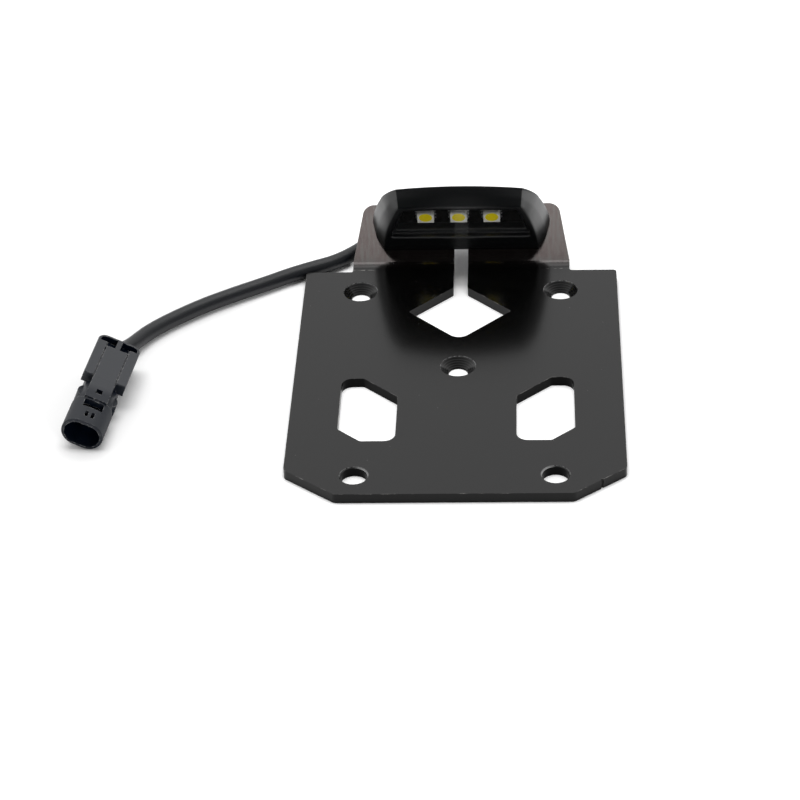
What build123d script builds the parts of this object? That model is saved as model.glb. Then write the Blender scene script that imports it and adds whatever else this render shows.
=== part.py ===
from build123d import *
import os
from math import cos, pi, radians, sin, tan

# Sheet and outline of the mounting plate, in millimetres
sheet = 3.0
plate_width = 94.0
plate_length = 112.0
front_width = 65.0
front_chamfer_length = 11.3
rear_corner_radius = 1.0
front_corner_radius = 2.0

# Screw holes for the bike's arms and for the number plate
upper_hole_spacing = 60.0
upper_hole_inset = 11.0
centre_hole_drop = 40.0
arm_hole_diameter = 5.5
countersink_diameter = 10.4
countersink_angle = 90.0
lower_hole_spacing = 55.0
lower_hole_inset = 8.5
lower_hole_diameter = 7.4
lower_hole_edge_break = 0.35

# Diamond cut-out and the cable slot above it
diamond_half_diagonal = 15.2
diamond_inset = 22.3
diamond_side_radius = 0.7
diamond_tip_radius = 3.6
diamond_mouth_radius = 1.2
slot_width = 4.2

# Pair of windows in the lower half of the plate
window_half_gap = 16.85
window_width = 16.3
window_inset = 57.05
window_length = 30.55
window_inner_cut_width = 10.0
window_inner_cut_length = 9.2
window_outer_cut_width = 6.5
window_outer_cut_length = 5.8
window_corner_radius = 3.2
window_cut_radius = 1.0

# Half-round nick left in the right front chamfer
nick_radius = 0.4
nick_from_front_corner = 9.6

# Upturned tab at the rear
bend_angle = 33.5
bend_radius = 5.0
tab_root_length = 1.5
tab_root_radius = 0.7
tab_base_width = 65.8
tab_taper_angle = 9.3
tab_length = 20.8
tab_corner_radius = 3.5
fixing_row = 15.5
cable_hole_diameter = 8.0

# Screws that hold the light
light_screw_spacing = 32.0
light_screw_diameter = 4.0
light_screw_length = 8.0
light_screw_hole_diameter = 4.5
light_screw_head_diameter = 7.6
light_screw_head_height = 2.2
light_screw_hex = 2.5
light_screw_hex_depth = 1.4
washer_diameter = 9.0
washer_hole_diameter = 4.3
washer_thickness = 0.8
thread_clearance = 0.05
thread_runout = 0.4

# Light housing: outlines of its front face, its widest section and its back
face_foot = 5.5
face_lean = 10.1
face_base_half = 23.5
face_side = (20.4, 16.1)
face_shoulder = (18.3, 21.6)
face_crown = 22.1
face_side_bulge = 0.6
face_shoulder_bulge = 0.12
mid_foot = 15.0
mid_lean = -3.6
mid_base_half = 27.1
mid_side = (23.9, 18.25)
mid_shoulder = (18.8, 26.1)
mid_crown = 28.1
mid_side_bulge = 0.6
mid_shoulder_bulge = 0.9
back_foot = 20.2
back_lean = -3.6
back_base_half = 21.6
back_side = (20.4, 7.1)
back_shoulder = (18.4, 10.1)
back_crown = 12.1
back_side_bulge = 0.23
back_shoulder_bulge = 0.34
cheek_lean = 2.4
cheek_base_swell = 0.75
cheek_side_swell = 0.4

# Lens, board and the cavity they sit in
lens_rim = 1.6
lens_foot = 6.45
lens_corner_radius = 1.0
lens_setback = 0.2
lens_thickness = 1.8
lens_gap = 0.1
lens_ledge = 1.2
board_depth = 4.6
board_thickness = 1.2
board_gap = 0.2
pocket_width = 26.0
pocket_length = 6.6
pocket_foot = 9.0
pocket_depth = 3.4
wire_bore_diameter = 6.0

# LED packages on the board
led_names = ("left", "centre", "right")
led_pitch = 10.0
led_row_offset = -0.5
led_row_height = 12.5
led_size = 5.0
led_height = 1.6
led_corner_cut = 0.7
phosphor_diameter = 4.0
phosphor_depth = 0.7
lead_width = 0.9
lead_pitch = 1.6
lead_thickness = 0.2
lead_foot = 0.7
lead_rise = 0.8

# Parts on the back of the board
resistor_length = 3.2
resistor_width = 1.6
resistor_thickness = 0.6
resistor_spacing = 17.0
diode_length = 4.3
diode_width = 2.6
diode_thickness = 2.0
diode_gap = 0.6
core_diameter = 1.5
core_spacing = 2.2

# Grommet and cable
grommet_clearance = 0.1
grommet_spigot = 2.5
grommet_spigot_clearance = 0.1
grommet_flange_diameter = 10.0
grommet_flange = 1.2
cable_diameter = 4.6
cable_rest_height = 2.4
cable_first_run = 6.7
cable_last_run = 7.2
cable_points_and_lifts = (
    (-2.6, 38.8, 0.0),
    (-12.0, 39.6, 0.0),
    (-27.6, 28.6, 0.0),
    (-49.5, 17.6, 0.0),
    (-71.5, -0.8, 0.0),
    (-89.6, -18.0, 0.6),
)

# Plug: where its mouth lies and how it is turned
plug_x = -104.2
plug_y = -75.5
plug_height = 5.2
plug_yaw = 6.8
plug_pitch = 0.0
plug_roll = 23.0

# Plug housing, measured back from its mouth
plug_length = 40.0
mouth_width = 12.0
mouth_height = 9.0
mouth_wall = 0.85
mouth_length = 11.4
mouth_lip_chamfer = 0.35
neck_width = 10.6
neck_height = 7.8
socket_depth = 9.0
core_socket_width = 8.0
core_socket_height = 5.2
core_socket_depth = 15.0
collar_front = 20.3
collar_width = 12.7
collar_top = 5.5
wing_thickness = 3.5
collar_corner_radius = 2.4
collar_edge_break = 0.25
tongue_width = 6.7
tongue_front = 11.0
tongue_front_height = 4.9
tongue_groove_width = 0.35
tongue_groove_depth = 0.35
lock_window_width = 5.7
lock_window_length = 3.2
lock_window_front = 7.1
tongue_hole_size = 1.8
tongue_hole_front = 13.4
tongue_hole_depth = 1.0
notch_width = 0.9
notch_length = 2.4
notch_spacing = 1.8
notch_front = 2.8
notch_depth = 1.2
side_boss_radius = 2.7
side_boss_height = 4.0
side_boss_position = 16.2
side_boss_reach = 6.0
rear_rim = 0.8
rear_pocket_rib = 1.4
rear_pocket_length = 2.3
rear_pocket_step_width = 2.5
rear_pocket_step_length = 1.7
rear_pocket_depth = 2.0

# Seal and contact blades inside the plug
seal_width = 9.0
seal_height = 6.2
seal_depth = 3.6
seal_clearance = 0.05
terminal_names = ("left", "right")
terminal_pitch = 4.4
terminal_barrel_diameter = 2.2
terminal_bore_clearance = 0.1
blade_width = 1.5
blade_thickness = 0.64
blade_tip = 7.2

margin = 1.0
rear_y = upper_hole_inset
front_y = rear_y - plate_length
across = Vector(1, 0, 0)


def save(name, shape):
    shape.label = name
    export_step(shape, f"parts/{name}.step")


def mirrored(shape):
    return mirror(shape, about=Plane.YZ)


os.makedirs("parts", exist_ok=True)

# Planes of the tab, the light's sections and the plug
bend_start = rear_y + tab_root_length
bend_setback = bend_radius * tan(radians(bend_angle / 2))
tab_along = Vector(0, cos(radians(bend_angle)), sin(radians(bend_angle)))
tab_normal = Vector(0, -sin(radians(bend_angle)), cos(radians(bend_angle)))
tab_plane = Plane((0, bend_start + bend_setback, sheet), x_dir=across, z_dir=tab_normal)


def section_plane(foot, lean):
    facing = tab_normal * sin(radians(lean)) - tab_along * cos(radians(lean))
    return Plane(tab_plane.from_local_coords((0, foot, 0)), x_dir=across, z_dir=facing)


face_plane = section_plane(face_foot, face_lean)
mid_plane = section_plane(mid_foot, mid_lean)
back_plane = section_plane(back_foot, back_lean)

plug_back = Vector(0, 1, 0).rotate(Axis.X, plug_pitch).rotate(Axis.Z, -plug_yaw)
plug_right = across.rotate(Axis.Z, -plug_yaw).rotate(Axis((0, 0, 0), plug_back), plug_roll)
plug_plane = Plane((plug_x, plug_y, plug_height), x_dir=plug_right, z_dir=plug_right.cross(plug_back))

# Flat part of the plate: outline with chamfered front corners and the root of the tab
chamfer_y = front_y + front_chamfer_length
half_outline = [
    (0, front_y),
    (front_width / 2, front_y),
    (plate_width / 2, chamfer_y),
    (plate_width / 2, rear_y),
    (tab_base_width / 2, rear_y),
    (tab_base_width / 2, bend_start),
    (0, bend_start),
]
half_plate = make_face(Polyline(*half_outline, close=True))
front_corners = half_plate.vertices().filter_by(lambda v: v.X > margin and v.Y < chamfer_y + margin)
half_plate = fillet(front_corners, front_corner_radius)
rear_corner = half_plate.vertices().sort_by_distance((plate_width / 2, rear_y))[0]
half_plate = fillet(rear_corner, rear_corner_radius)
tab_root = half_plate.vertices().sort_by_distance((tab_base_width / 2, rear_y))[0]
half_plate = fillet(tab_root, tab_root_radius)
flat = extrude(half_plate + mirrored(half_plate), sheet)

# Bend and tab: bent strip trimmed to the tab's tapered outline
bend_centre = (bend_start, sheet + bend_radius)


def bend_point(radius, angle):
    turn = radians(angle)
    return (bend_centre[0] + radius * sin(turn), bend_centre[1] - radius * cos(turn))


def tab_point(along, depth):
    point = tab_plane.from_local_coords((0, along, -depth))
    return (point.Y, point.Z)


outer_radius = bend_radius + sheet
inner_bend = ThreePointArc(*[bend_point(bend_radius, bend_angle * k / 2) for k in range(3)])
outer_bend = ThreePointArc(*[bend_point(outer_radius, bend_angle * k / 2) for k in range(3)])
strip_edges = [
    Line(bend_point(outer_radius, 0), bend_point(bend_radius, 0)),
    inner_bend,
    Line(bend_point(bend_radius, bend_angle), tab_point(tab_length, 0)),
    Line(tab_point(tab_length, 0), tab_point(tab_length, sheet)),
    Line(tab_point(tab_length, sheet), bend_point(outer_radius, bend_angle)),
    outer_bend,
]
strip_face = Plane.YZ * make_face(strip_edges)
strip = extrude(strip_face, tab_base_width / 2, both=True)

tab_tip_half = tab_base_width / 2 - (tab_length - bend_setback) * tan(radians(tab_taper_angle))
tab_outline = make_face(Polyline(
    (-tab_base_width / 2, -outer_radius),
    (tab_base_width / 2, -outer_radius),
    (tab_base_width / 2, bend_setback),
    (tab_tip_half, tab_length),
    (-tab_tip_half, tab_length),
    (-tab_base_width / 2, bend_setback),
    close=True,
))
tab_tips = tab_outline.vertices().filter_by(lambda v: v.Y > tab_length - margin)
tab_outline = fillet(tab_tips, tab_corner_radius)
tab = strip & extrude(tab_plane * tab_outline, outer_radius * 2, both=True)

# Diamond and slot through plate and bend, with the slot's round end in the tab
diamond_y = rear_y - diamond_inset
diamond = make_face(Polyline(
    (0, diamond_y - diamond_half_diagonal),
    (diamond_half_diagonal, diamond_y),
    (0, diamond_y + diamond_half_diagonal),
    (-diamond_half_diagonal, diamond_y),
    close=True,
))
diamond_tip = diamond.vertices().sort_by(Axis.Y)[0]
diamond = fillet(diamond_tip, diamond_tip_radius)
diamond_sides = diamond.vertices().filter_by(lambda v: abs(v.X) > diamond_half_diagonal / 2)
diamond = fillet(diamond_sides, diamond_side_radius)
slot_end = bend_start + outer_radius
slot = Pos(0, (diamond_y + slot_end) / 2) * Rectangle(slot_width, slot_end - diamond_y)
opening = diamond + slot
mouth_y = diamond_y + diamond_half_diagonal - slot_width / 2
mouth_corners = opening.vertices().filter_by(lambda v: abs(v.Y - mouth_y) < margin)
opening = fillet(mouth_corners, diamond_mouth_radius)
opening_cut = Pos(0, 0, -margin) * extrude(opening, sheet + 2 * outer_radius)
slot_on_tab = Pos(0, fixing_row / 2) * Rectangle(slot_width, fixing_row)
keyhole = slot_on_tab + Pos(0, fixing_row) * Circle(cable_hole_diameter / 2)
keyhole_cut = extrude(tab_plane * keyhole, sheet * 2, both=True)

# Windows: chamfered on two opposite corners, rounded on the others
window_out = window_half_gap + window_width
window_top = rear_y - window_inset
window_bottom = window_top - window_length
window = make_face(Polyline(
    (window_out, window_top),
    (window_out, window_bottom + window_outer_cut_length),
    (window_out - window_outer_cut_width, window_bottom),
    (window_half_gap, window_bottom),
    (window_half_gap, window_top - window_inner_cut_length),
    (window_half_gap + window_inner_cut_width, window_top),
    close=True,
))
window_round = [
    window.vertices().sort_by_distance((window_out, window_top))[0],
    window.vertices().sort_by_distance((window_half_gap, window_bottom))[0],
]
window = fillet(window_round, window_corner_radius)
cut_ends = [
    (window_out, window_bottom + window_outer_cut_length),
    (window_out - window_outer_cut_width, window_bottom),
    (window_half_gap, window_top - window_inner_cut_length),
    (window_half_gap + window_inner_cut_width, window_top),
]
window = fillet([window.vertices().sort_by_distance(p)[0] for p in cut_ends], window_cut_radius)
window_cut = Pos(0, 0, -margin) * extrude(window, sheet + 2 * margin)

# Screw holes, the nick and the holes that fix the light
countersink_depth = (countersink_diameter - arm_hole_diameter) / 2 / tan(radians(countersink_angle / 2))
arm_hole = Cylinder(arm_hole_diameter / 2, sheet * 3)
arm_hole += Pos(0, 0, sheet - countersink_depth / 2) * Cone(
    arm_hole_diameter / 2, countersink_diameter / 2, countersink_depth)
lower_hole = Cylinder(lower_hole_diameter / 2, sheet * 3)
lower_hole += Pos(0, 0, sheet - lower_hole_edge_break / 2) * Cone(
    lower_hole_diameter / 2, lower_hole_diameter / 2 + lower_hole_edge_break, lower_hole_edge_break)
front_corner = Vector(front_width / 2, front_y)
chamfer_run = Vector(plate_width / 2, chamfer_y) - front_corner
nick_at = front_corner + chamfer_run.normalized() * nick_from_front_corner
nick = Pos(nick_at.X, nick_at.Y) * Cylinder(nick_radius, sheet * 3)
light_hole = Cylinder(light_screw_hole_diameter / 2, sheet * 3)

plate = flat + tab
plate -= opening_cut
plate -= keyhole_cut
plate -= nick
plate -= Pos(0, -centre_hole_drop) * arm_hole
for side in (-1, 1):
    plate -= Pos(side * upper_hole_spacing / 2, 0) * arm_hole
    plate -= Pos(side * lower_hole_spacing / 2, front_y + lower_hole_inset) * lower_hole
    plate -= tab_plane * Pos(side * light_screw_spacing / 2, fixing_row) * light_hole
plate -= window_cut
plate -= mirrored(window_cut)
save("mounting_plate", plate)


# Light housing: three half-moon outlines joined by straight facets
def bulged(start, end, bulge):
    chord = Vector(*end) - Vector(*start)
    outward = Vector(chord.Y, -chord.X).normalized()
    middle = (Vector(*start) + Vector(*end)) / 2 + outward * bulge
    return ThreePointArc(start, (middle.X, middle.Y), end)


def flipped(point):
    return (-point[0], point[1])


def half_moon(base_half, side, shoulder, crown, side_bulge, shoulder_bulge):
    base = (base_half, 0)
    return make_face([
        Line(flipped(base), base),
        bulged(base, side, side_bulge),
        bulged(side, shoulder, shoulder_bulge),
        ThreePointArc(shoulder, (0, crown), flipped(shoulder)),
        bulged(flipped(shoulder), flipped(side), shoulder_bulge),
        bulged(flipped(side), flipped(base), side_bulge),
    ])


face_outline = half_moon(
    face_base_half, face_side, face_shoulder, face_crown, face_side_bulge, face_shoulder_bulge)
mid_outline = half_moon(
    mid_base_half, mid_side, mid_shoulder, mid_crown, mid_side_bulge, mid_shoulder_bulge)
back_outline = half_moon(
    back_base_half, back_side, back_shoulder, back_crown, back_side_bulge, back_shoulder_bulge)


def halfway(first, second):
    return (first + second) / 2


cheek_plane = section_plane(halfway(face_foot, mid_foot), cheek_lean)
cheek_outline = half_moon(
    halfway(face_base_half, mid_base_half) + cheek_base_swell,
    (halfway(face_side[0], mid_side[0]) + cheek_side_swell, halfway(face_side[1], mid_side[1])),
    (halfway(face_shoulder[0], mid_shoulder[0]), halfway(face_shoulder[1], mid_shoulder[1])),
    halfway(face_crown, mid_crown),
    halfway(face_side_bulge, mid_side_bulge),
    halfway(face_shoulder_bulge, mid_shoulder_bulge),
)
sections = [
    face_plane * face_outline,
    cheek_plane * cheek_outline,
    mid_plane * mid_outline,
    back_plane * back_outline,
]
housing = Part()
for nearer, farther in zip(sections, sections[1:]):
    housing += loft([nearer, farther], ruled=True)

# Lens seat, board cavity and back pocket, sunk square to the light's face
def lens_shape(gap):
    above_foot = Pos(0, lens_foot - gap + face_crown / 2) * Rectangle(mid_base_half * 2, face_crown)
    outline = offset(face_outline, gap - lens_rim) & above_foot
    corner_rows = outline.vertices().group_by(Axis.Y)
    return fillet(corner_rows[0] + corner_rows[-1], lens_corner_radius + gap)


lens_outline = lens_shape(0)
seat_outline = lens_shape(lens_gap)
cavity_outline = offset(lens_outline, -lens_ledge)
board_outline = offset(cavity_outline, -board_gap)


def sunk(outline, start, depth):
    return extrude(face_plane.offset(-start) * outline, -depth)


seat_depth = lens_setback + lens_thickness
cavity_depth = board_depth + board_thickness
pocket_outline = Pos(0, pocket_foot + pocket_length / 2) * Rectangle(pocket_width, pocket_length)
housing -= sunk(seat_outline, 0, seat_depth)
housing -= sunk(cavity_outline, seat_depth, board_depth - seat_depth + board_thickness)
housing -= sunk(pocket_outline, cavity_depth, pocket_depth)

# Wire bore and tapped holes in the housing's foot
wire_bore_top = face_plane.offset(-cavity_depth) * Pos(0, pocket_foot + pocket_length / 2)
foot_axis = tab_plane * Pos(0, fixing_row)
wire_bore_length = tab_plane.to_local_coords(wire_bore_top.position).Z
housing -= extrude(foot_axis * Circle(wire_bore_diameter / 2), wire_bore_length)
screw_grip = light_screw_length - sheet - washer_thickness
for side in (-1, 1):
    tapped = Circle(light_screw_diameter / 2 + thread_clearance)
    hole_place = tab_plane * Pos(side * light_screw_spacing / 2, fixing_row)
    housing -= extrude(hole_place * tapped, screw_grip + thread_runout)
save("light_housing", housing)

lens = sunk(lens_outline, lens_setback, lens_thickness)
save("light_lens", lens)
board = sunk(board_outline, board_depth, board_thickness)
save("led_board", board)

# LEDs: body with a round cup, phosphor that fills it, and six bent legs
led_body = Pos(0, 0, led_height / 2) * Box(led_size, led_size, led_height)
corner_post = led_body.edges().filter_by(Axis.Z).sort_by_distance((led_size, led_size, 0))[0]
led_body = chamfer(corner_post, led_corner_cut)
led_cup = Cylinder(phosphor_diameter / 2, phosphor_depth)
phosphor = Pos(0, 0, led_height - phosphor_depth / 2) * led_cup
led_body -= phosphor
leg_profile = Plane.XZ * make_face(Polyline(
    (led_size / 2, 0),
    (led_size / 2 + lead_foot, 0),
    (led_size / 2 + lead_foot, lead_thickness),
    (led_size / 2 + lead_thickness, lead_thickness),
    (led_size / 2 + lead_thickness, lead_rise),
    (led_size / 2, lead_rise),
    close=True,
))
leg = extrude(leg_profile, lead_width / 2, both=True)
legs = []
for step in (-1, 0, 1):
    placed_leg = Pos(0, step * lead_pitch) * leg
    legs += [placed_leg, mirrored(placed_leg)]
board_front = face_plane.offset(-board_depth)
for step, name in enumerate(led_names, start=-1):
    place = board_front * Pos(led_row_offset + step * led_pitch, led_row_height)
    save(f"led_body_{name}", place * led_body)
    save(f"led_phosphor_{name}", place * phosphor)
    save(f"led_leads_{name}", Compound([place * one for one in legs]))

# Parts on the back of the board, in the pocket
pocket_middle = pocket_foot + pocket_length / 2
for side, name in ((-1, "left"), (1, "right")):
    resistor = Rectangle(resistor_length, resistor_width)
    place = Pos(side * resistor_spacing / 2, pocket_middle)
    save(f"board_resistor_{name}", sunk(place * resistor, cavity_depth, resistor_thickness))
diode_x = (resistor_length - resistor_spacing + diode_width) / 2 + diode_gap
diode_place = Pos(diode_x, pocket_middle)
save("board_diode", sunk(diode_place * Rectangle(diode_width, diode_length), cavity_depth, diode_thickness))

# Cores from the grommet's spigot up into the pocket, then forward to the back of the board
board_end = tab_plane.to_local_coords(wire_bore_top.position)
core_reach = (fixing_row - board_end.Y) / cos(radians(face_lean))
core_top = board_end.Z - core_reach * sin(radians(face_lean))
cores = []
for side in (-1, 1):
    core_x = side * core_spacing / 2
    core_corners = [
        tab_plane.from_local_coords((core_x, fixing_row, grommet_spigot)),
        tab_plane.from_local_coords((core_x, fixing_row, core_top)),
        tab_plane.from_local_coords((core_x, board_end.Y, board_end.Z)),
    ]
    core_section = Plane(core_corners[0], z_dir=tab_normal) * Circle(core_diameter / 2)
    cores.append(sweep(core_section, path=Polyline(*core_corners), transition=Transition.RIGHT))
save("lead_wires", Compound(cores))

# Grommet: spigot in the housing, body in the tab and flange behind it
grommet = extrude(foot_axis * Circle(wire_bore_diameter / 2 - grommet_spigot_clearance), grommet_spigot)
grommet += extrude(foot_axis * Circle(cable_hole_diameter / 2 - grommet_clearance), -sheet)
flange_place = foot_axis * Pos(0, 0, -sheet)
grommet += extrude(flange_place * Circle(grommet_flange_diameter / 2), -grommet_flange)
save("cable_grommet", grommet)

# Screws and washers behind the tab
screw = extrude(Circle(light_screw_head_diameter / 2), light_screw_head_height)
hexagon = RegularPolygon(light_screw_hex / 2, 6, major_radius=False)
screw -= extrude(Pos(0, 0, light_screw_head_height) * hexagon, -light_screw_hex_depth)
screw += extrude(Circle(light_screw_diameter / 2), -light_screw_length)
washer = extrude(Circle(washer_diameter / 2) - Circle(washer_hole_diameter / 2), washer_thickness)
screws = []
washers = []
for side in (-1, 1):
    seat = tab_plane * Pos(side * light_screw_spacing / 2, fixing_row, -sheet) * Rot(180, 0, 0)
    washers.append(seat * washer)
    screws.append(seat * Pos(0, 0, washer_thickness) * screw)
save("light_screws", Compound(screws))
save("light_screw_washers", Compound(washers))

# Plug housing, built along its own axis with its mouth at zero
plug_axis = Plane((0, 0, 0), x_dir=(1, 0, 0), z_dir=(0, 1, 0))


def oval(width, height):
    return SlotOverall(width, height)


def run(outline, start, end):
    return extrude(plug_axis.offset(start) * outline, end - start)


def deck_box(left, right, front, rear, bottom, top):
    size = (right - left, rear - front, top - bottom)
    return Pos((left + right) / 2, (front + rear) / 2, (bottom + top) / 2) * Box(*size)


def plan(left, right, front, rear):
    return Pos((left + right) / 2, (front + rear) / 2) * Rectangle(right - left, rear - front)


deck_outline = plan(-collar_width / 2, collar_width / 2, collar_front, plug_length)
deck_outline = fillet(deck_outline.vertices().group_by(Axis.Y)[-1], collar_corner_radius)
collar = extrude(Pos(0, 0, collar_top) * deck_outline, -wing_thickness)
collar = chamfer(collar.faces().sort_by(Axis.Z)[-1].edges(), collar_edge_break)
neck = run(oval(neck_width, neck_height), 0, plug_length)
mouth = run(oval(mouth_width, mouth_height), 0, mouth_length)
mouth = chamfer(mouth.faces().sort_by(Axis.Y)[0].edges(), mouth_lip_chamfer)
tongue_side = make_face(Polyline(
    (tongue_front, 0),
    (tongue_front, tongue_front_height),
    (collar_front, collar_top),
    (collar_front + margin, collar_top),
    (collar_front + margin, 0),
    close=True,
))
tongue = extrude(Plane.YZ * tongue_side, tongue_width / 2, both=True)
plug = collar + neck + mouth + tongue
for side in (-1, 1):
    boss_place = Pos(side * (side_boss_reach - side_boss_radius), side_boss_position)
    plug += boss_place * Cylinder(side_boss_radius, side_boss_height)

plug -= run(oval(mouth_width - 2 * mouth_wall, mouth_height - 2 * mouth_wall), 0, socket_depth)
plug -= run(oval(core_socket_width, core_socket_height), socket_depth, core_socket_depth)
lock_rear = lock_window_front + lock_window_length
plug -= deck_box(-lock_window_width / 2, lock_window_width / 2, lock_window_front, lock_rear,
                 core_socket_height / 2 - margin, mouth_height)
tongue_rear = tongue_hole_front + tongue_hole_size
plug -= deck_box(-tongue_hole_size / 2, tongue_hole_size / 2, tongue_hole_front, tongue_rear,
                 tongue_front_height - tongue_hole_depth, collar_top + margin)
step_rear = plug_length - rear_rim - rear_pocket_length
step_front = step_rear - rear_pocket_step_length
for side in (-1, 1):
    notch_x = side * notch_spacing / 2
    plug -= deck_box(notch_x - notch_width / 2, notch_x + notch_width / 2, notch_front,
                     notch_front + notch_length, mouth_height / 2 - notch_depth, mouth_height)
    groove_x = side * tongue_width / 2
    plug -= deck_box(groove_x - tongue_groove_width / 2, groove_x + tongue_groove_width / 2, collar_front - margin,
                     step_rear, collar_top - tongue_groove_depth, collar_top + margin)

# Stepped windows at the rear of the deck, inside its rim
rib_side = rear_pocket_rib / 2
rear_window = plan(rib_side, collar_width, step_rear, plug_length) & offset(deck_outline, -rear_rim)
rear_window += plan(rib_side, rib_side + rear_pocket_step_width, step_front, step_rear)
rear_window_cut = extrude(Pos(0, 0, collar_top - rear_pocket_depth) * rear_window, rear_pocket_depth + margin)
plug -= rear_window_cut
plug -= mirrored(rear_window_cut)
seal_front = plug_length - seal_depth
plug -= run(oval(seal_width, seal_height), seal_front, plug_length)
bore = Circle(terminal_barrel_diameter / 2 + terminal_bore_clearance)
for side, name in zip((-1, 1), terminal_names):
    place = Pos(side * terminal_pitch / 2, 0)
    plug -= run(place * bore, core_socket_depth, seal_front)
    terminal = run(place * Circle(terminal_barrel_diameter / 2), core_socket_depth, seal_front)
    terminal += run(place * Rectangle(blade_width, blade_thickness), blade_tip, core_socket_depth)
    save(f"terminal_{name}", plug_plane * terminal)
save("connector_housing", plug_plane * plug)
seal = run(oval(seal_width - 2 * seal_clearance, seal_height - 2 * seal_clearance), seal_front, plug_length)
save("connector_seal", plug_plane * seal)

# Cable: out of the grommet's flange, down to the ground, round the plate's corner and into the plug
cable_exit = tab_plane.from_local_coords((0, fixing_row, -sheet - grommet_flange))
plug_entry = plug_plane.from_local_coords((0, plug_length, 0))
cable_points = [cable_exit, cable_exit - tab_normal * cable_first_run]
cable_points += [Vector(x, y, cable_rest_height + lift) for x, y, lift in cable_points_and_lifts]
cable_points += [plug_entry + plug_back * cable_last_run, plug_entry]
cable_turns = []
bend_radii = []
for before, here, after in zip(cable_points, cable_points[1:], cable_points[2:]):
    turn = radians((here - before).get_angle(after - here))
    shorter = min((here - before).length, (after - here).length)
    cable_turns.append(turn)
    bend_radii.append(0.45 * shorter / tan(turn / 2))
cable_line = FilletPolyline(*cable_points, radius=bend_radii)
cable_section = Plane(cable_exit, z_dir=-tab_normal) * Circle(cable_diameter / 2)
cable = sweep(cable_section, path=cable_line)
save("cable", cable)

print("cable radii", [round(radius, 1) for radius in bend_radii])
print("cable turns", [round(turn * 180 / pi, 1) for turn in cable_turns])
print("cable length", round(cable_line.length, 1))
print("cable volume share", round(cable.volume / (pi * cable_diameter ** 2 / 4 * cable_line.length), 4))
print("cable points", [tuple(round(c, 2) for c in point) for point in cable_points])
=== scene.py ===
import math
import bpy
from mathutils import Matrix, Vector


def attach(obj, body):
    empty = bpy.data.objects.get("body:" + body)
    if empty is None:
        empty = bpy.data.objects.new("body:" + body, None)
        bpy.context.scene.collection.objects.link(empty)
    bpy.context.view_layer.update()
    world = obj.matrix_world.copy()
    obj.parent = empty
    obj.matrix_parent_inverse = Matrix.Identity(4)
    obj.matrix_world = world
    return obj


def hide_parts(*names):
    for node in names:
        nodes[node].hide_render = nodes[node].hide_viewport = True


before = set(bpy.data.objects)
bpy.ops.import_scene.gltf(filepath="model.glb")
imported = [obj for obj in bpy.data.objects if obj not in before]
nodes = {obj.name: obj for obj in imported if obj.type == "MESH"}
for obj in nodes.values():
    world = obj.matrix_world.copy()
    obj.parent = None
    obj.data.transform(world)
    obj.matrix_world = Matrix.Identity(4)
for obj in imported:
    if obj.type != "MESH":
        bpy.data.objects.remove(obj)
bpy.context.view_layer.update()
MM = 0.001

# Camera: where it stands, where it looks and how it is rolled
CAMERA_AT = (21.64, -675.88, 437.25)
CAMERA_DOWN = 35.001
CAMERA_YAW = -3.490
CAMERA_ROLL = -2.480
CAMERA_LENS = 120.34
CAMERA_SENSOR = 36.0
CAMERA_NEAREST = 10.0

# Cable: the sleeve's radius and the points it is drawn to
CABLE_RADIUS = 2.3
CABLE_POINTS = (
    (0.0, 29.25, 8.05),
    (0.0, 31.69, 4.37),
    (-2.4, 37.5, 2.4),
    (-8.7, 40.4, 2.4),
    (-19.5, 36.8, 2.4),
    (-29.3, 28.3, 2.4),
    (-31.9, 24.1, 2.4),
    (-38.3, 17.9, 2.4),
    (-45.3, 14.5, 2.4),
    (-52.5, 10.4, 2.4),
    (-58.7, 6.1, 2.4),
    (-68.1, 0.25, 2.4),
    (-78.7, -7.1, 2.4),
    (-91.3, -18.8, 2.4),
    (-96.7, -28.9, 2.9),
    (-99.22, -33.78, 5.2),
    (-99.46, -35.78, 5.2),
)
CABLE_ROUNDNESS = 8
CABLE_STEPS = 12
CABLE_ORDER = 3

# Surroundings: their bright side, how bright they are and how far round the change reaches
BRIGHT_SIDE = (-0.2, 1.0, 0.1)
WORLD_DIM = 0.25
WORLD_BRIGHT = 0.95
WORLD_TURN = 0.5

# Floor: its reach in metres, its drop below the plate, its paper and its own white, fainter to the left
FLOOR_REACH = 3.0
FLOOR_DROP = 0.05
FLOOR_CLOUDS = 40.0
FLOOR_DARK = (0.955, 0.955, 0.955)
FLOOR_PALE = (0.965, 0.965, 0.965)
FLOOR_ROUGH = 0.9
FLOOR_GLOSS = 0.1
FLOOR_GLOW = 0.3
FLOOR_GLOW_LEFT = 0.02
GLOW_FROM = -70.0
GLOW_FULL = -45.0

# Shade under the tab, where the floor loses its own white: half its width, and where it lies along Y
SHADE_HALF = 34.0
SHADE_SOFT = 10.0
SHADE_FROM = 2.0
SHADE_FULL = 8.0
SHADE_FADES = 24.0
SHADE_ENDS = 40.0

# Contact shadow: how far the floor loses its own white round an edge, and how closed in it is there
CONTACT_REACH = 2.5
CONTACT_FROM = 0.8
CONTACT_FULL = 0.5

# Inner part of the plate, where its windows and lower holes lie
INNER_HALF = 33.5
INNER_FRONT = -97.0
INNER_REAR = -30.0
INNER_SOFT = 1.0

# Where the plate's sheet turns up into the tab, along Y
TAB_STARTS = 12.5
TAB_CLEAR = 16.5

# Worn crease: its line along Y, the line's half width and fade, and the two ends where it shows
CREASE_AT = 12.0
CREASE_HALF = 0.1
CREASE_FADE = 0.35
CREASE_END_FROM = 25.5
CREASE_END_FULL = 28.0

# Lower plain holes: where they lie, their radius, and the width and reach in radii of the painted highlight
# on their rims
LOWER_HOLE_X = 27.5
LOWER_HOLE_Y = -92.5
LOWER_HOLE_R = 3.7
RIM_WIDTH = 0.5
RIM_INWARD = 0.5
RIM_FORWARD = 0.4

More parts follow.
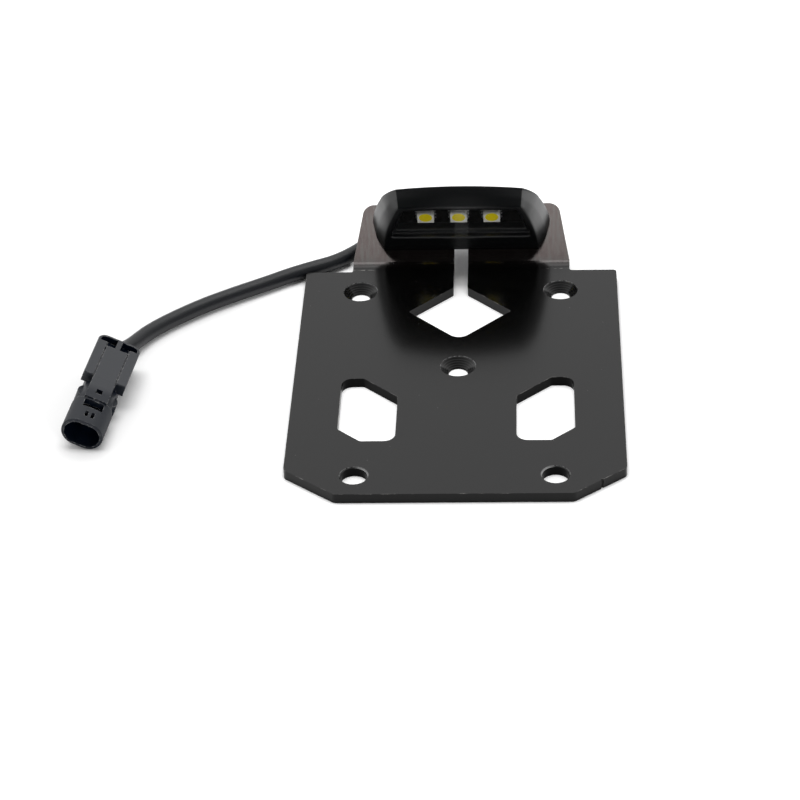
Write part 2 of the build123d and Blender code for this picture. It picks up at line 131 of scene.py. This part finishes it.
# Countersinks: pitch of the rings that the cutter left, and the height and fade of the worn rim
RING_PITCH = 0.5
RING_TROUGH = 0.2
RING_CREST = 0.5
RIM_FROM = 2.8
RIM_FADE = 0.1

# Where a noise counts as low and as high
GRAIN_LOW = 0.3
GRAIN_HIGH = 0.7

# Which way a face looks, by the square of its upward part: sawn sides, and cones at about 45 degrees
SIDE_FULL = 0.05
SIDE_NONE = 0.2
CONE_FROM = (0.3, 0.35)
CONE_TO = (0.6, 0.65)

# Which way a face looks, by its rearward part: fronts
FRONT_FULL = -0.95
FRONT_NONE = -0.86

# Worn edges: how far they reach into a face, how finely they are felt for and how sharp they are
WORN_REACH = 0.45
EDGE_SAMPLES = 8
EDGE_SHARP = 0.8
EDGE_FLAT = 0.99

# Dust: spacing and size of the specks, and the share of a speck that is full
SPECK_SPACING = 4.2
SPECK_SIZE = 0.13
SPECK_CORE = 0.4

# Plate's colours: bare black, brown on the tab, what shows where it is worn, dusty or turned, and a painted
# highlight round the lower holes
BARE_DARK = (0.0003, 0.0003, 0.0003)
BARE_LIGHT = (0.0008, 0.0008, 0.0008)
BROWN_DARK = (0.0015, 0.001, 0.0009)
BROWN_LIGHT = (0.003, 0.0022, 0.002)
WORN_EDGE = (0.16, 0.155, 0.15)
WORN_CREASE = (0.2, 0.195, 0.185)
WORN_RIM = (0.14, 0.14, 0.14)
# painted highlight laid on the lower holes' rims
PAINTED_HOLE_HIGHLIGHT = (0.3, 0.3, 0.3)
RING_GREY = (0.022, 0.022, 0.022)
DUST = (0.12, 0.12, 0.12)

# Plate's sheen: even on its flat, streaked brown on its tab, each with its noise level
SHEEN_EVEN = ((GRAIN_LOW, (0.98, 0.98, 0.98)), (GRAIN_HIGH, (1.0, 1.0, 1.0)))
SHEEN_STREAKS = ((0.4, (0.85, 0.71, 0.69)), (0.5, (0.96, 0.83, 0.8)), (0.6, (1.0, 0.95, 0.91)))
STREAK_LOW = 0.4
STREAK_HIGH = 0.6

# Plate's texture: how fine its brushing, mottling and scuffs are per metre, and how rough it is
BRUSHING = (1300.0, 150.0, 150.0)
MOTTLING = 1400.0
EDGE_PATCHES = 260.0
CREASE_PATCHES = 700.0
PLATE_ROUGH = (0.165, 0.195)
TAB_ROUGH = (0.11, 0.14)

# Gloss of the plate: on its faces, on its sawn sides and how much of that is left inside cut-outs
FACE_GLOSS = 0.46
SIDE_GLOSS = 0.18
INNER_GLOSS_LEFT = 0.3

# Light housing: how strongly it mirrors, on its facets and on its front
LIGHT_IOR = 1.85
LIGHT_GLOSS = 0.5
LIGHT_FRONT_GLOSS = 0.1
LIGHT_EDGE = 1.3
LIGHT_ROUGH = (0.34, 0.4)
LIGHT_GRAINS = 3000.0
LIGHT_DARK = (0.0009, 0.0014, 0.0018)
LIGHT_PALE = (0.0014, 0.002, 0.0026)

# Plug: its finish, where its matt mouth and open deck begin and end along Y, and the hollows where its gloss
# is taken away as painted shade
PLUG_IOR = 1.65
PLUG_GLOSS = 0.5
PLUG_EDGE = 0.2
PLUG_GRAINS = 4500.0
PLUG_PATCHES = 900.0
PLUG_DARK = (0.0008, 0.0028, 0.007)
PLUG_PALE = (0.002, 0.0046, 0.011)
PLUG_WORN = (0.2, 0.2, 0.2)
MOUTH_ENDS = -62.0
NECK_STARTS = -59.0
MOUTH_ROUGH = 0.66
NECK_ROUGH = 0.44
MOUTH_GLOSS_LEFT = 0.78
DECK_FROM = -57.0
DECK_FULL = -55.0
DECK_FADES = -43.5
DECK_ENDS = -42.0
HOLLOW_REACH = 12.0
HOLLOW_FULL = 0.4
HOLLOW_NONE = 0.8

# LED bodies: where the painted shade on their upper part begins and is full, by height
LED_PAINTED_SHADE_FROM = 0.55
LED_PAINTED_SHADE_FULL = 0.95

# Lens: how strongly and how sharply it mirrors, and its faint tint
LENS_IOR = 1.49
LENS_ROUGH = 0.08
LENS_CLOUDS = 150.0
LENS_TINTS = ((GRAIN_LOW, (0.93, 0.94, 0.95)), (GRAIN_HIGH, (0.97, 0.97, 0.97)))


# Node materials
def add(tree, kind, **settings):
    node = tree.nodes.new(kind)
    for name, value in settings.items():
        if name in node.inputs:
            node.inputs[name].default_value = value
        else:
            setattr(node, name, value)
    return node


def material(name):
    made = bpy.data.materials.new(name)
    made.use_nodes = True
    tree = made.node_tree
    shader = tree.nodes["Principled BSDF"]
    place = add(tree, "ShaderNodeTexCoord")
    return made, tree, shader, place.outputs["Object"]


def grey(level):
    return (level, level, level)


def axes_of(tree, vector):
    made = add(tree, "ShaderNodeSeparateXYZ")
    tree.links.new(vector, made.inputs["Vector"])
    return made.outputs


def stretched(tree, place, scale):
    mapping = add(tree, "ShaderNodeMapping", Scale=scale)
    tree.links.new(place, mapping.inputs["Vector"])
    return mapping.outputs["Vector"]


def noise(tree, place, scale, detail=4.0, roughness=0.55):
    made = add(tree, "ShaderNodeTexNoise", Scale=scale, Detail=detail, Roughness=roughness)
    tree.links.new(place, made.inputs["Vector"])
    return made.outputs["Fac"]


def ramp(tree, value, stops):
    made = add(tree, "ShaderNodeValToRGB")
    elements = made.color_ramp.elements
    while len(elements) < len(stops):
        elements.new(0.5)
    for element, (at, colour) in zip(elements, stops):
        element.position = at
        element.color = (*colour, 1.0)
    tree.links.new(value, made.inputs["Fac"])
    return made.outputs["Color"]


def between(tree, value, low, high, start=GRAIN_LOW, end=GRAIN_HIGH):
    made = add(tree, "ShaderNodeMapRange")
    for name, setting in (("From Min", start), ("From Max", end), ("To Min", low), ("To Max", high)):
        made.inputs[name].default_value = setting
    tree.links.new(value, made.inputs["Value"])
    return made.outputs["Result"]


def rising(tree, value, start, end):
    return between(tree, value, 0.0, 1.0, start, end)


def falling(tree, value, start, end):
    return between(tree, value, 1.0, 0.0, start, end)


# Value that goes with a share: one at none of it, another at all of it
def by_share(tree, share, none, full):
    return between(tree, share, none, full, 0.0, 1.0)


def math_node(tree, operation, first, second):
    made = add(tree, "ShaderNodeMath", operation=operation)
    tree.links.new(first, made.inputs[0])
    tree.links.new(second, made.inputs[1])
    return made.outputs["Value"]


def product(tree, first, second):
    return math_node(tree, "MULTIPLY", first, second)


def larger(tree, first, second):
    return math_node(tree, "MAXIMUM", first, second)


# Difference of a value and a fixed length
def offset(tree, value, length):
    made = add(tree, "ShaderNodeMath", operation="SUBTRACT")
    tree.links.new(value, made.inputs[0])
    made.inputs[1].default_value = length * MM
    return made.outputs["Value"]


# Size of a value, whichever its sign
def size_of(tree, value):
    made = add(tree, "ShaderNodeMath", operation="ABSOLUTE")
    tree.links.new(value, made.inputs[0])
    return made.outputs["Value"]


def blended(tree, share, under, over):
    made = add(tree, "ShaderNodeMix", data_type="RGBA")
    tree.links.new(share, made.inputs[0])
    tree.links.new(under, made.inputs[6])
    made.inputs[7].default_value = (*over, 1.0)
    return made.outputs[2]


def mixed(tree, share, under, over):
    made = add(tree, "ShaderNodeMix", data_type="RGBA")
    tree.links.new(share, made.inputs[0])
    tree.links.new(under, made.inputs[6])
    tree.links.new(over, made.inputs[7])
    return made.outputs[2]


def rounded(tree, radius):
    return add(tree, "ShaderNodeBevel", samples=EDGE_SAMPLES, Radius=radius * MM).outputs["Normal"]


# Fine pits in a surface, over rounded edges where a radius is given
def pitted(tree, height, strength, depth, edge=0.0):
    made = add(tree, "ShaderNodeBump", Strength=strength, Distance=depth * MM)
    tree.links.new(height, made.inputs["Height"])
    if edge > 0:
        tree.links.new(rounded(tree, edge), made.inputs["Normal"])
    return made.outputs["Normal"]


def facing(tree):
    return axes_of(tree, add(tree, "ShaderNodeTexCoord").outputs["Normal"])


# Square of a face's upward part: 0 on upright sides, 1 on level faces
def levelness(tree):
    up = facing(tree)["Z"]
    return product(tree, up, up)


# Share of an edge: 0 on an open face, 1 at a sharp corner
def edge_share(tree, radius):
    turn = add(tree, "ShaderNodeVectorMath", operation="DOT_PRODUCT")
    tree.links.new(rounded(tree, radius), turn.inputs[0])
    tree.links.new(add(tree, "ShaderNodeNewGeometry").outputs["Normal"], turn.inputs[1])
    return falling(tree, turn.outputs["Value"], EDGE_SHARP, EDGE_FLAT)


# Share of a cut edge: 0 on the sheet's faces, 1 on its sawn sides
def cut_share(tree):
    return falling(tree, levelness(tree), SIDE_FULL, SIDE_NONE)


# Share of a face that looks forward: 0 on sides and tops, 1 on the front
def front_share(tree):
    return falling(tree, facing(tree)["Y"], FRONT_FULL, FRONT_NONE)


# Share of open space round a point, between two levels of it
def open_share(tree, reach, start, end):
    hollow = add(tree, "ShaderNodeAmbientOcclusion", samples=EDGE_SAMPLES, Distance=reach * MM)
    return rising(tree, hollow.outputs["AO"], start, end)


# Share of the plate's inner part: 1 where its windows and lower holes lie, 0 elsewhere
def inner_share(tree, axes):
    across = size_of(tree, axes["X"])
    beside = falling(tree, across, INNER_HALF * MM, (INNER_HALF + INNER_SOFT) * MM)
    behind = rising(tree, axes["Y"], (INNER_FRONT - INNER_SOFT) * MM, INNER_FRONT * MM)
    before = falling(tree, axes["Y"], INNER_REAR * MM, (INNER_REAR + INNER_SOFT) * MM)
    return product(tree, beside, product(tree, behind, before))


# Patches: blotches of a noise that stand out above a level
def patches(tree, place, scale, start, end):
    return rising(tree, noise(tree, place, scale, detail=5.0, roughness=0.65), start, end)


# Scuffs: patches of edge where the black has rubbed off
def scuffs(tree, place, scale, start, end):
    return product(tree, edge_share(tree, WORN_REACH), patches(tree, place, scale, start, end))


# Specks: scattered grains of dust
def specks(tree, place, spacing, size):
    cells = add(tree, "ShaderNodeTexVoronoi", Scale=1.0 / (spacing * MM))
    tree.links.new(place, cells.inputs["Vector"])
    return falling(tree, cells.outputs["Distance"], SPECK_CORE * size / spacing, size / spacing)


# Wear along the crease, at the tab's two outer ends
def crease_wear(tree, place, axes):
    off_line = size_of(tree, offset(tree, axes["Y"], CREASE_AT))
    line = falling(tree, off_line, CREASE_HALF * MM, CREASE_FADE * MM)
    ends = rising(tree, size_of(tree, axes["X"]), CREASE_END_FROM * MM, CREASE_END_FULL * MM)
    worn = patches(tree, place, CREASE_PATCHES, start=0.44, end=0.6)
    return product(tree, product(tree, line, ends), worn)


# Painted highlight: bright arcs round the two lower holes, on the sides that face each other
def painted_hole_highlights(tree, axes):
    out = offset(tree, size_of(tree, axes["X"]), LOWER_HOLE_X)
    along = offset(tree, axes["Y"], LOWER_HOLE_Y)
    flat = add(tree, "ShaderNodeCombineXYZ")
    tree.links.new(out, flat.inputs["X"])
    tree.links.new(along, flat.inputs["Y"])
    distance = add(tree, "ShaderNodeVectorMath", operation="LENGTH")
    tree.links.new(flat.outputs["Vector"], distance.inputs[0])
    near = falling(tree, distance.outputs["Value"], LOWER_HOLE_R * MM, (LOWER_HOLE_R + RIM_WIDTH) * MM)
    inward = falling(tree, out, -RIM_INWARD * LOWER_HOLE_R * MM, 0.0)
    rear = rising(tree, along, -RIM_FORWARD * LOWER_HOLE_R * MM, 0.0)
    return product(tree, near, product(tree, inward, rear))


# Turned rings: fine circles on the countersinks, with a worn rim at the face
def turned_rings(tree, axes):
    level = levelness(tree)
    cone = product(tree, rising(tree, level, *CONE_FROM), falling(tree, level, *CONE_TO))
    waves = add(tree, "ShaderNodeMath", operation="PINGPONG")
    tree.links.new(axes["Z"], waves.inputs[0])
    waves.inputs[1].default_value = RING_CREST * RING_PITCH * MM
    trough = RING_TROUGH * RING_PITCH * MM
    crest = RING_CREST * RING_PITCH * MM
    rings = rising(tree, waves.outputs["Value"], trough, crest)
    rim = rising(tree, axes["Z"], RIM_FROM * MM, (RIM_FROM + RIM_FADE) * MM)
    return product(tree, cone, rings), product(tree, cone, rim)


# Anodised plate: black and even on its flat, brownish and brushed on its tab, with a painted highlight round
# its lower holes
def anodised_plate():
    made, tree, shader, place = material("plate_black")
    axes = axes_of(tree, place)
    on_tab = rising(tree, axes["Y"], TAB_STARTS * MM, TAB_CLEAR * MM)
    cut = cut_share(tree)
    brushed = stretched(tree, place, BRUSHING)
    grain = noise(tree, brushed, 1.0, detail=5.0, roughness=0.7)
    mottle = noise(tree, place, MOTTLING, detail=5.0, roughness=0.6)
    bare = ramp(tree, mottle, ((GRAIN_LOW, BARE_DARK), (GRAIN_HIGH, BARE_LIGHT)))
    brown = ramp(tree, grain, ((STREAK_LOW, BROWN_DARK), (STREAK_HIGH, BROWN_LIGHT)))
    colour = mixed(tree, on_tab, bare, brown)
    colour = blended(tree, scuffs(tree, place, EDGE_PATCHES, start=0.5, end=0.64), colour, WORN_EDGE)
    colour = blended(tree, crease_wear(tree, place, axes), colour, WORN_CREASE)
    colour = blended(tree, specks(tree, place, SPECK_SPACING, SPECK_SIZE), colour, DUST)
    rings, rim = turned_rings(tree, axes)
    colour = blended(tree, rings, colour, RING_GREY)
    worn_rim = product(tree, rim, rising(tree, mottle, STREAK_LOW, STREAK_HIGH))
    colour = blended(tree, worn_rim, colour, WORN_RIM)
    face = by_share(tree, cut, none=1.0, full=0.0)
    # painted highlight: bright arcs on the faces round the two lower holes
    colour = blended(tree, product(tree, face, painted_hole_highlights(tree, axes)), colour, PAINTED_HOLE_HIGHLIGHT)
    tree.links.new(colour, shader.inputs["Base Color"])
    finish = add(tree, "ShaderNodeMix", data_type="FLOAT")
    tree.links.new(on_tab, finish.inputs[0])
    tree.links.new(between(tree, mottle, *PLATE_ROUGH), finish.inputs[2])
    tree.links.new(between(tree, mottle, *TAB_ROUGH), finish.inputs[3])
    tree.links.new(finish.outputs[0], shader.inputs["Roughness"])
    hollow = product(tree, cut, inner_share(tree, axes))
    outer_gloss = by_share(tree, cut, none=FACE_GLOSS, full=SIDE_GLOSS)
    gloss = product(tree, outer_gloss, by_share(tree, hollow, none=1.0, full=INNER_GLOSS_LEFT))
    tree.links.new(gloss, shader.inputs["Specular IOR Level"])
    even = ramp(tree, mottle, SHEEN_EVEN)
    streaked = ramp(tree, grain, SHEEN_STREAKS)
    tree.links.new(mixed(tree, on_tab, even, streaked), shader.inputs["Specular Tint"])
    tab_grain = product(tree, grain, on_tab)
    tree.links.new(pitted(tree, tab_grain, strength=0.25, depth=0.02), shader.inputs["Normal"])
    return made


# Grained colour: a fine noise, and a colour that runs from dark to light with it
def grained(tree, place, scale, dark, light):
    grains = noise(tree, place, scale, detail=6.0, roughness=0.6)
    return grains, ramp(tree, grains, ((GRAIN_LOW, dark), (GRAIN_HIGH, light)))


# Light housing: satin black, with a duller front
def satin_light():
    made, tree, shader, place = material("light_black")
    grains, colour = grained(tree, place, LIGHT_GRAINS, LIGHT_DARK, LIGHT_PALE)
    tree.links.new(colour, shader.inputs["Base Color"])
    tree.links.new(between(tree, grains, *LIGHT_ROUGH), shader.inputs["Roughness"])
    shader.inputs["IOR"].default_value = LIGHT_IOR
    gloss = by_share(tree, front_share(tree), none=LIGHT_GLOSS, full=LIGHT_FRONT_GLOSS)
    tree.links.new(gloss, shader.inputs["Specular IOR Level"])
    surface = pitted(tree, grains, strength=0.03, depth=0.02, edge=LIGHT_EDGE)
    tree.links.new(surface, shader.inputs["Normal"])
    return made


# Plug: bluish black moulding, with painted shade in its hollows where its gloss is taken away, matt at its
# mouth and scuffed at its edges
def moulded_plug():
    made, tree, shader, place = material("plug_black")
    axes = axes_of(tree, place)
    grains, colour = grained(tree, place, PLUG_GRAINS, PLUG_DARK, PLUG_PALE)
    worn = blended(tree, scuffs(tree, place, PLUG_PATCHES, start=0.48, end=0.6), colour, PLUG_WORN)
    tree.links.new(worn, shader.inputs["Base Color"])
    rough = between(tree, axes["Y"], MOUTH_ROUGH, NECK_ROUGH, MOUTH_ENDS * MM, NECK_STARTS * MM)
    tree.links.new(rough, shader.inputs["Roughness"])
    shader.inputs["IOR"].default_value = PLUG_IOR
    before_rear = falling(tree, axes["Y"], DECK_FADES * MM, DECK_ENDS * MM)
    behind_front = rising(tree, axes["Y"], DECK_FROM * MM, DECK_FULL * MM)
    deck = product(tree, before_rear, behind_front)
    # painted shade: the gloss falls to none where the occlusion finds a hollow, but not on the open deck
    lit = larger(tree, open_share(tree, HOLLOW_REACH, HOLLOW_FULL, HOLLOW_NONE), deck)
    dull = between(tree, axes["Y"], MOUTH_GLOSS_LEFT, 1.0, MOUTH_ENDS * MM, NECK_STARTS * MM)
    gloss = product(tree, dull, by_share(tree, lit, none=0.0, full=PLUG_GLOSS))
    tree.links.new(gloss, shader.inputs["Specular IOR Level"])
    surface = pitted(tree, grains, strength=0.12, depth=0.02, edge=PLUG_EDGE)
    tree.links.new(surface, shader.inputs["Normal"])
    return made


# Speckled finish: grained colour, roughness that follows it and fine pits; where a painted shade colour is
# given, painted shade darkens it towards the top
def speckled(name, dark, light, scale, rough, pits, depth=0.02, metallic=0.0, gloss=0.5, painted_shade=None):
    made, tree, shader, place = material(name)
    grains, colour = grained(tree, place, scale, dark, light)
    if painted_shade:
        # painted shade: the upper part darkened by height
        height = axes_of(tree, add(tree, "ShaderNodeTexCoord").outputs["Generated"])["Z"]
        colour = blended(tree, rising(tree, height, LED_PAINTED_SHADE_FROM, LED_PAINTED_SHADE_FULL), colour, painted_shade)
    tree.links.new(colour, shader.inputs["Base Color"])
    tree.links.new(between(tree, grains, *rough), shader.inputs["Roughness"])
    tree.links.new(pitted(tree, grains, pits, depth), shader.inputs["Normal"])
    shader.inputs["Metallic"].default_value = metallic
    shader.inputs["Specular IOR Level"].default_value = gloss
    return made


# Clear lens: mirrors on its outer face only, and lets the rest through
def clear_lens():
    made, tree, shader, place = material("lens_clear")
    clear = add(tree, "ShaderNodeBsdfTransparent")
    tint = ramp(tree, noise(tree, place, LENS_CLOUDS), LENS_TINTS)
    tree.links.new(tint, clear.inputs["Color"])
    gloss = add(tree, "ShaderNodeBsdfGlossy", Roughness=LENS_ROUGH)
    mirrored = add(tree, "ShaderNodeFresnel", IOR=LENS_IOR)
    inner = add(tree, "ShaderNodeNewGeometry").outputs["Backfacing"]
    outer = by_share(tree, inner, none=1.0, full=0.0)
    both = add(tree, "ShaderNodeMixShader")
    tree.links.new(product(tree, mirrored.outputs["Fac"], outer), both.inputs["Fac"])
    tree.links.new(clear.outputs["BSDF"], both.inputs[1])
    tree.links.new(gloss.outputs["BSDF"], both.inputs[2])
    tree.links.new(both.outputs["Shader"], tree.nodes["Material Output"].inputs["Surface"])
    return made


component_black = speckled(
    "component_black", grey(0.01), grey(0.02), scale=2000.0, rough=(0.4, 0.5), pits=0.1)
screw_steel = speckled(
    "screw_steel", grey(0.45), grey(0.6), scale=1200.0, rough=(0.22, 0.35), pits=0.1,
    depth=0.01, metallic=1.0)
contact_tin = speckled(
    "contact_tin", grey(0.6), grey(0.75), scale=2500.0, rough=(0.25, 0.4), pits=0.1,
    depth=0.01, metallic=1.0)
# LED bodies: white, with painted shade on their upper part
led_white = speckled(
    "led_white", (0.82, 0.8, 0.74), (0.92, 0.9, 0.84), scale=1500.0, rough=(0.4, 0.55), pits=0.1,
    painted_shade=(0.2, 0.19, 0.17))
led_phosphor = speckled(
    "led_phosphor", (0.93, 0.72, 0.0), (0.99, 0.82, 0.002), scale=1800.0, rough=(0.3, 0.5), pits=0.1)
cable_black = speckled(
    "cable_black", (0.0025, 0.0033, 0.005), (0.0045, 0.0055, 0.0075), scale=1800.0, rough=(0.38, 0.48),
    pits=0.12, depth=0.03)

finishes = {
    "mounting_plate": anodised_plate(),
    "light_housing": satin_light(),
    "light_lens": clear_lens(),
    "led_board": speckled(
        "board_black", grey(0.001), grey(0.002), scale=900.0, rough=(0.3, 0.45), pits=0.05, gloss=0.02),
    "board_resistor_left": component_black,
    "board_resistor_right": component_black,
    "board_diode": component_black,
    "lead_wires": speckled(
        "core_red", (0.3, 0.01, 0.01), (0.4, 0.02, 0.02), scale=900.0, rough=(0.4, 0.5), pits=0.1),
    "cable_grommet": speckled(
        "rubber_black", grey(0.008), grey(0.014), scale=2500.0, rough=(0.5, 0.65), pits=0.15, depth=0.03),
    "light_screws": screw_steel,
    "light_screw_washers": screw_steel,
    "connector_housing": moulded_plug(),
    "connector_seal": speckled(
        "seal_green", (0.03, 0.12, 0.06), (0.05, 0.16, 0.09), scale=1500.0, rough=(0.45, 0.6), pits=0.1),
    "terminal_left": contact_tin,
    "terminal_right": contact_tin,
}
for side in ("left", "centre", "right"):
    finishes[f"led_body_{side}"] = led_white
    finishes[f"led_phosphor_{side}"] = led_phosphor
    finishes[f"led_leads_{side}"] = contact_tin
for name, finish in finishes.items():
    nodes[name].data.materials.clear()
    nodes[name].data.materials.append(finish)

# Cable: a round sleeve along its lay
cable_curve = bpy.data.curves.new("cable_sleeve", "CURVE")
cable_curve.dimensions = "3D"
cable_curve.bevel_depth = CABLE_RADIUS * MM
cable_curve.bevel_resolution = CABLE_ROUNDNESS
cable_curve.resolution_u = CABLE_STEPS
cable_curve.use_fill_caps = True
lay = cable_curve.splines.new("NURBS")
lay.points.add(len(CABLE_POINTS) - 1)
for spot, (x, y, z) in zip(lay.points, CABLE_POINTS):
    spot.co = (x * MM, y * MM, z * MM, 1.0)
lay.order_u = CABLE_ORDER
lay.use_endpoint_u = True
cable = bpy.data.objects.new("cable_sleeve", cable_curve)
bpy.context.scene.collection.objects.link(cable)
cable.data.materials.append(cable_black)
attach(cable, "root")
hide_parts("cable")

# Floor: one pale square under everything
floor_corners = [
    (-FLOOR_REACH, -FLOOR_REACH, 0.0),
    (FLOOR_REACH, -FLOOR_REACH, 0.0),
    (FLOOR_REACH, FLOOR_REACH, 0.0),
    (-FLOOR_REACH, FLOOR_REACH, 0.0),
]
floor_mesh = bpy.data.meshes.new("floor")
floor_mesh.from_pydata(floor_corners, [], [(0, 1, 2, 3)])
floor = bpy.data.objects.new("floor", floor_mesh)
floor.location.z = -FLOOR_DROP * MM
bpy.context.scene.collection.objects.link(floor)
floor_white, tree, shader, place = material("floor_white")
paper = ramp(tree, noise(tree, place, FLOOR_CLOUDS), ((GRAIN_LOW, FLOOR_DARK), (GRAIN_HIGH, FLOOR_PALE)))
tree.links.new(paper, shader.inputs["Base Color"])
shader.inputs["Roughness"].default_value = FLOOR_ROUGH
shader.inputs["Specular IOR Level"].default_value = FLOOR_GLOSS

# The floor's own white, as it is seen and mirrored but not as it lights the object
path = add(tree, "ShaderNodeLightPath").outputs
shown = larger(tree, larger(tree, path["Is Camera Ray"], path["Is Glossy Ray"]), path["Is Transmission Ray"])
axes = axes_of(tree, place)
across = size_of(tree, axes["X"])
beside = falling(tree, across, (SHADE_HALF - SHADE_SOFT) * MM, SHADE_HALF * MM)
behind = rising(tree, axes["Y"], SHADE_FROM * MM, SHADE_FULL * MM)
before = falling(tree, axes["Y"], SHADE_FADES * MM, SHADE_ENDS * MM)
shade = product(tree, beside, product(tree, behind, before))
unshaded = by_share(tree, shade, none=1.0, full=0.0)
outside = rising(tree, across, INNER_HALF * MM, (INNER_HALF + INNER_SOFT) * MM)
in_front = falling(tree, axes["Y"], (INNER_FRONT - INNER_SOFT) * MM, INNER_FRONT * MM)
contact = open_share(tree, CONTACT_REACH, CONTACT_FROM, CONTACT_FULL)
touched = product(tree, larger(tree, outside, in_front), contact)
untouched = by_share(tree, touched, none=1.0, full=0.0)
glow = between(tree, axes["X"], FLOOR_GLOW_LEFT, FLOOR_GLOW, GLOW_FROM * MM, GLOW_FULL * MM)
glow = product(tree, untouched, product(tree, unshaded, glow))
shader.inputs["Emission Color"].default_value = (1.0, 1.0, 1.0, 1.0)
tree.links.new(product(tree, shown, glow), shader.inputs["Emission Strength"])
floor.data.materials.append(floor_white)

# Surroundings: white all round, brightest behind the object and to its left
world = bpy.data.worlds.new("studio")
bpy.context.scene.world = world
world.use_nodes = True
tree = world.node_tree
towards = add(tree, "ShaderNodeVectorMath", operation="DOT_PRODUCT")
towards.inputs[1].default_value = Vector(BRIGHT_SIDE).normalized()
tree.links.new(add(tree, "ShaderNodeTexCoord").outputs["Generated"], towards.inputs[0])
around = between(tree, towards.outputs["Value"], WORLD_DIM, WORLD_BRIGHT, -WORLD_TURN, WORLD_TURN)
tree.nodes["Background"].inputs["Color"].default_value = (1.0, 1.0, 1.0, 1.0)
tree.links.new(around, tree.nodes["Background"].inputs["Strength"])


# Softboxes: from above, from behind, and a fill from the front that nothing mirrors; in metres and watts
def softbox(name, at, target, width, height, power):
    lamp = bpy.data.lights.new(name, "AREA")
    lamp.shape = "RECTANGLE"
    lamp.size = width
    lamp.size_y = height
    lamp.energy = power
    made = bpy.data.objects.new(name, lamp)
    bpy.context.scene.collection.objects.link(made)
    made.location = at
    made.rotation_euler = (Vector(target) - Vector(at)).to_track_quat("-Z", "Y").to_euler()
    return made


softbox("softbox_top", at=(-0.05, -0.01, 1.2), target=(-0.05, -0.005, 0.0), width=1.0, height=0.35, power=5.5)
softbox("softbox_back", at=(-0.15, 0.45, 1.15), target=(0.0, 0.0, 0.0), width=0.9, height=0.6, power=2.2)
fill = softbox(
    "softbox_front", at=(0.65, -1.05, 0.42), target=(0.0, 0.0, 0.01), width=0.5, height=0.3, power=5.0)
fill.visible_glossy = False

# Camera
camera_data = bpy.data.cameras.new("camera")
camera_data.lens = CAMERA_LENS
camera_data.sensor_width = CAMERA_SENSOR
camera_data.clip_start = CAMERA_NEAREST * MM
camera = bpy.data.objects.new("camera", camera_data)
bpy.context.scene.collection.objects.link(camera)
turn = Matrix.Rotation(math.radians(-CAMERA_YAW), 4, "Z")
tilt = Matrix.Rotation(math.radians(90.0 - CAMERA_DOWN), 4, "X")
roll = Matrix.Rotation(math.radians(CAMERA_ROLL), 4, "Z")
camera.matrix_world = Matrix.Translation(Vector(CAMERA_AT) * MM) @ turn @ tilt @ roll
bpy.context.scene.camera = camera
bpy.context.scene.view_settings.view_transform = "Standard"
